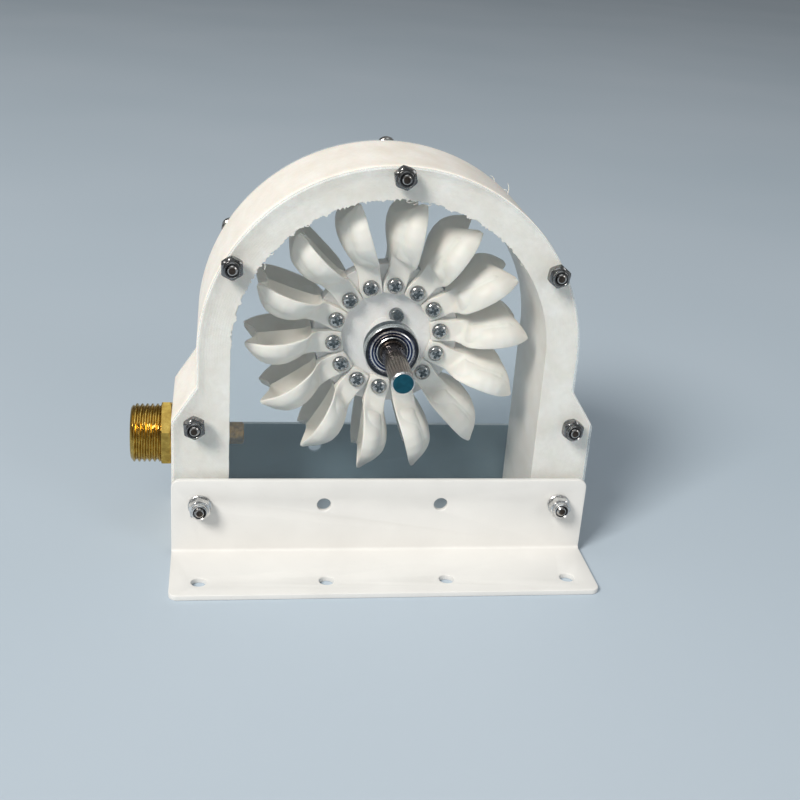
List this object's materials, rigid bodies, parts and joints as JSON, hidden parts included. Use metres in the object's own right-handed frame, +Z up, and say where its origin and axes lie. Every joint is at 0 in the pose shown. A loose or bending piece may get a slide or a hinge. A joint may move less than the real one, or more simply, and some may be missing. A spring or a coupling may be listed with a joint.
{
  "type": "miniature pelton turbine unit",
  "caption": "Miniature impulse turbine: a double-cup bucket wheel on a through shaft in an arch housing with clear panels, a brass inlet and two angle brackets.",
  "frame": {"origin": "centre of the bounding box on the ground plane, under the brackets' feet", "axes": "+X along the brackets away from the inlet, +Y along the shaft from the front (its free end) to the rear, +Z up"},
  "size_m": [0.165, 0.1094, 0.143],
  "materials": {
    "housing": "printed white plastic with fine layer lines",
    "panel": "clear polished acrylic sheet",
    "bracket": "satin white powder coat on sheet metal",
    "bearing": "ground and polished bearing steel",
    "inlet": "turned brass",
    "bolt": "bright plated steel",
    "hub": "satin white printed plastic",
    "bucket": "smooth ivory white resin",
    "shaft": "ground bright steel",
    "spacer": "printed white plastic"
  },
  "bodies": {
    "frame": {"housing": "housing", "front_panel": "panel", "rear_panel": "panel", "front_bracket": "bracket", "rear_bracket": "bracket", "front_bearing_outer": "bearing", "rear_bearing_outer": "bearing", "inlet_nozzle": "inlet", "bolt_top": "bolt", "bolt_upper_left": "bolt", "bolt_upper_right": "bolt", "bolt_lower_left": "bolt", "bolt_lower_right": "bolt", "bolt_bracket_left": "bolt", "bolt_bracket_right": "bolt"},
    "wheel": {"wheel_hub": "hub", "bucket_01": "bucket", "bucket_02": "bucket", "bucket_03": "bucket", "bucket_04": "bucket", "bucket_05": "bucket", "bucket_06": "bucket", "bucket_07": "bucket", "bucket_08": "bucket", "bucket_09": "bucket", "bucket_10": "bucket", "bucket_11": "bucket", "bucket_12": "bucket", "bucket_13": "bucket", "bucket_14": "bucket", "shaft": "shaft", "front_spacer": "spacer", "rear_spacer": "spacer", "front_bearing_inner": "bearing", "rear_bearing_inner": "bearing"}
  },
  "joints": [
    {"name": "wheel_spin", "type": "hinge", "parent": "frame", "child": "wheel", "pos_m": [0.00745, 0, 0.07785], "axis": [0, -1, 0], "continuous": true}
  ]
}
